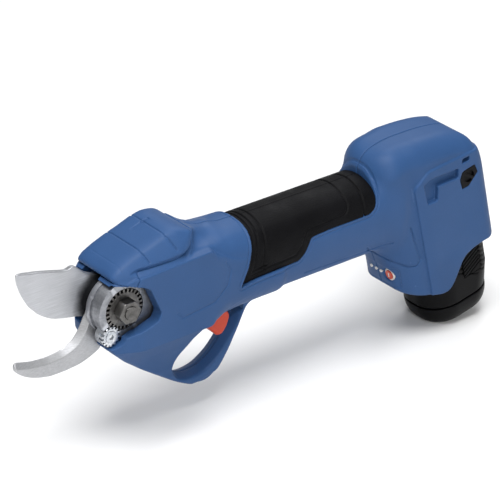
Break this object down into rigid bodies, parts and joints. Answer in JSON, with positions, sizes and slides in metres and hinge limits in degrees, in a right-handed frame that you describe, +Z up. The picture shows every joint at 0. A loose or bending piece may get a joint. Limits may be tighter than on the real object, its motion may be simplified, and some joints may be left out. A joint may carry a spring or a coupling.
{
  "type": "battery electric pruner",
  "caption": "One-hand battery electric pruner with a curved bypass cutting blade over a hook blade, finger guard with trigger, round rubber grip and slide-in battery.",
  "frame": {"origin": "middle of the whole tool", "axes": "+X back along the grip, away from the blades; +Y to the tool's right; +Z up"},
  "size_m": [0.3474, 0.051, 0.1336],
  "materials": {
    "blue_shell": "satin, lightly textured moulding",
    "black_rubber": "matt rubber",
    "black_plastic": "fine spark texture",
    "blade_steel": "ground along the blade",
    "dark_steel": "dark phosphated steel",
    "cast_alloy": "die cast, machined faces",
    "zinc_steel": "bright zinc plate",
    "plain_steel": "turned or drawn",
    "bronze": "oiled bronze",
    "copper": "varnished copper wire",
    "red_plastic": "satin red-orange moulding",
    "pale_plastic": "translucent pale moulding",
    "green_board": "solder mask",
    "cell_wrap": "shrink sleeve",
    "lead_wrap": "wire insulation"
  },
  "bodies": {
    "body": {"left_housing": "blue_shell", "right_housing": "blue_shell", "head_cover": "blue_shell", "left_grip": "black_rubber", "right_grip": "black_rubber", "housing_screws": "plain_steel", "gear_case": "cast_alloy", "hook_blade": "blade_steel", "hook_screws": "plain_steel", "pivot_bolt": "dark_steel", "pivot_nut": "dark_steel", "lock_disc": "dark_steel", "lock_gear": "zinc_steel", "lock_screw": "zinc_steel", "output_bearing": "plain_steel", "ring_gear": "dark_steel", "gearbox_plate": "dark_steel", "motor_can": "plain_steel", "motor_stator": "dark_steel", "motor_windings": "copper", "motor_end_cap": "black_plastic", "trigger_pin": "plain_steel", "trigger_spring": "plain_steel", "trigger_switch": "black_plastic", "control_board": "green_board", "board_parts": "black_plastic", "button_bezel": "pale_plastic", "charge_lamps": "pale_plastic", "contact_block": "black_plastic", "motor_leads": "lead_wrap", "left_strap_insert": "black_plastic", "right_strap_insert": "black_plastic"},
    "blade": {"cutting_blade": "blade_steel", "bevel_sector": "dark_steel", "sector_screws": "plain_steel", "pivot_bush": "bronze"},
    "carrier": {"planet_carrier": "plain_steel", "bevel_pinion": "dark_steel"},
    "planet_1": {"planet_gear_1": "plain_steel"},
    "planet_2": {"planet_gear_2": "plain_steel"},
    "planet_3": {"planet_gear_3": "plain_steel"},
    "rotor": {"motor_rotor": "dark_steel", "sun_gear": "plain_steel"},
    "trigger": {"trigger": "red_plastic"},
    "power_button": {"power_button": "red_plastic"},
    "battery": {"battery_case": "black_plastic", "battery_base": "black_plastic", "battery_cells": "cell_wrap", "battery_contacts": "bronze", "battery_screws": "plain_steel", "left_latch_spring": "plain_steel", "right_latch_spring": "plain_steel"},
    "left_latch": {"left_latch": "black_plastic"},
    "right_latch": {"right_latch": "black_plastic"}
  },
  "joints": [
    {"name": "blade_swing", "type": "hinge", "parent": "body", "child": "blade", "pos_m": [-0.10677, 0, 0.02632], "axis": [0, -1, 0], "range_deg": [0, 50]},
    {"name": "carrier_spin", "type": "hinge", "parent": "body", "child": "carrier", "pos_m": [-0.06677, 0, 0.02632], "axis": [1, 0, 0], "range_deg": [0, 240]},
    {"name": "planet_spin_1", "type": "hinge", "parent": "carrier", "child": "planet_1", "pos_m": [-0.05277, 0, 0.03576], "axis": [1, 0, 0], "range_deg": [-672, 0]},
    {"name": "planet_spin_2", "type": "hinge", "parent": "carrier", "child": "planet_2", "pos_m": [-0.05277, -0.00818, 0.02159], "axis": [1, 0, 0], "range_deg": [-672, 0]},
    {"name": "planet_spin_3", "type": "hinge", "parent": "carrier", "child": "planet_3", "pos_m": [-0.05277, 0.00818, 0.02159], "axis": [1, 0, 0], "range_deg": [-672, 0]},
    {"name": "rotor_spin", "type": "hinge", "parent": "body", "child": "rotor", "pos_m": [-0.01677, 0, 0.02632], "axis": [1, 0, 0], "range_deg": [0, 1080]},
    {"name": "trigger_pull", "type": "hinge", "parent": "body", "child": "trigger", "pos_m": [-0.04477, 0, -0.00268], "axis": [0, -1, 0], "range_deg": [0, 13], "stiffness_Nm_per_rad": 0.4, "springref_deg": -20.05, "deforming": ["trigger_spring"]},
    {"name": "power_press", "type": "slide", "parent": "body", "child": "power_button", "axis": [0.9781, 0, 0.2079], "range_m": [0, 0.0012], "stiffness_N_per_m": 400, "springref_m": -0.001},
    {"name": "battery_slide", "type": "slide", "parent": "body", "child": "battery", "axis": [0.2079, 0, -0.9781], "range_m": [0, 0.06]},
    {"name": "left_latch_press", "type": "slide", "parent": "battery", "child": "left_latch", "axis": [0, 1, 0], "range_m": [0, 0.002], "stiffness_N_per_m": 800, "springref_m": -0.001, "deforming": ["left_latch_spring"]},
    {"name": "right_latch_press", "type": "slide", "parent": "battery", "child": "right_latch", "axis": [0, -1, 0], "range_m": [0, 0.002], "stiffness_N_per_m": 800, "springref_m": -0.001, "deforming": ["right_latch_spring"]}
  ],
  "couplings": [
    {"joint": "carrier_spin", "follows": "blade_swing", "ratio": 4.8},
    {"joint": "planet_spin_1", "follows": "blade_swing", "ratio": -13.44},
    {"joint": "planet_spin_2", "follows": "blade_swing", "ratio": -13.44},
    {"joint": "planet_spin_3", "follows": "blade_swing", "ratio": -13.44},
    {"joint": "rotor_spin", "follows": "blade_swing", "ratio": 21.6}
  ]
}
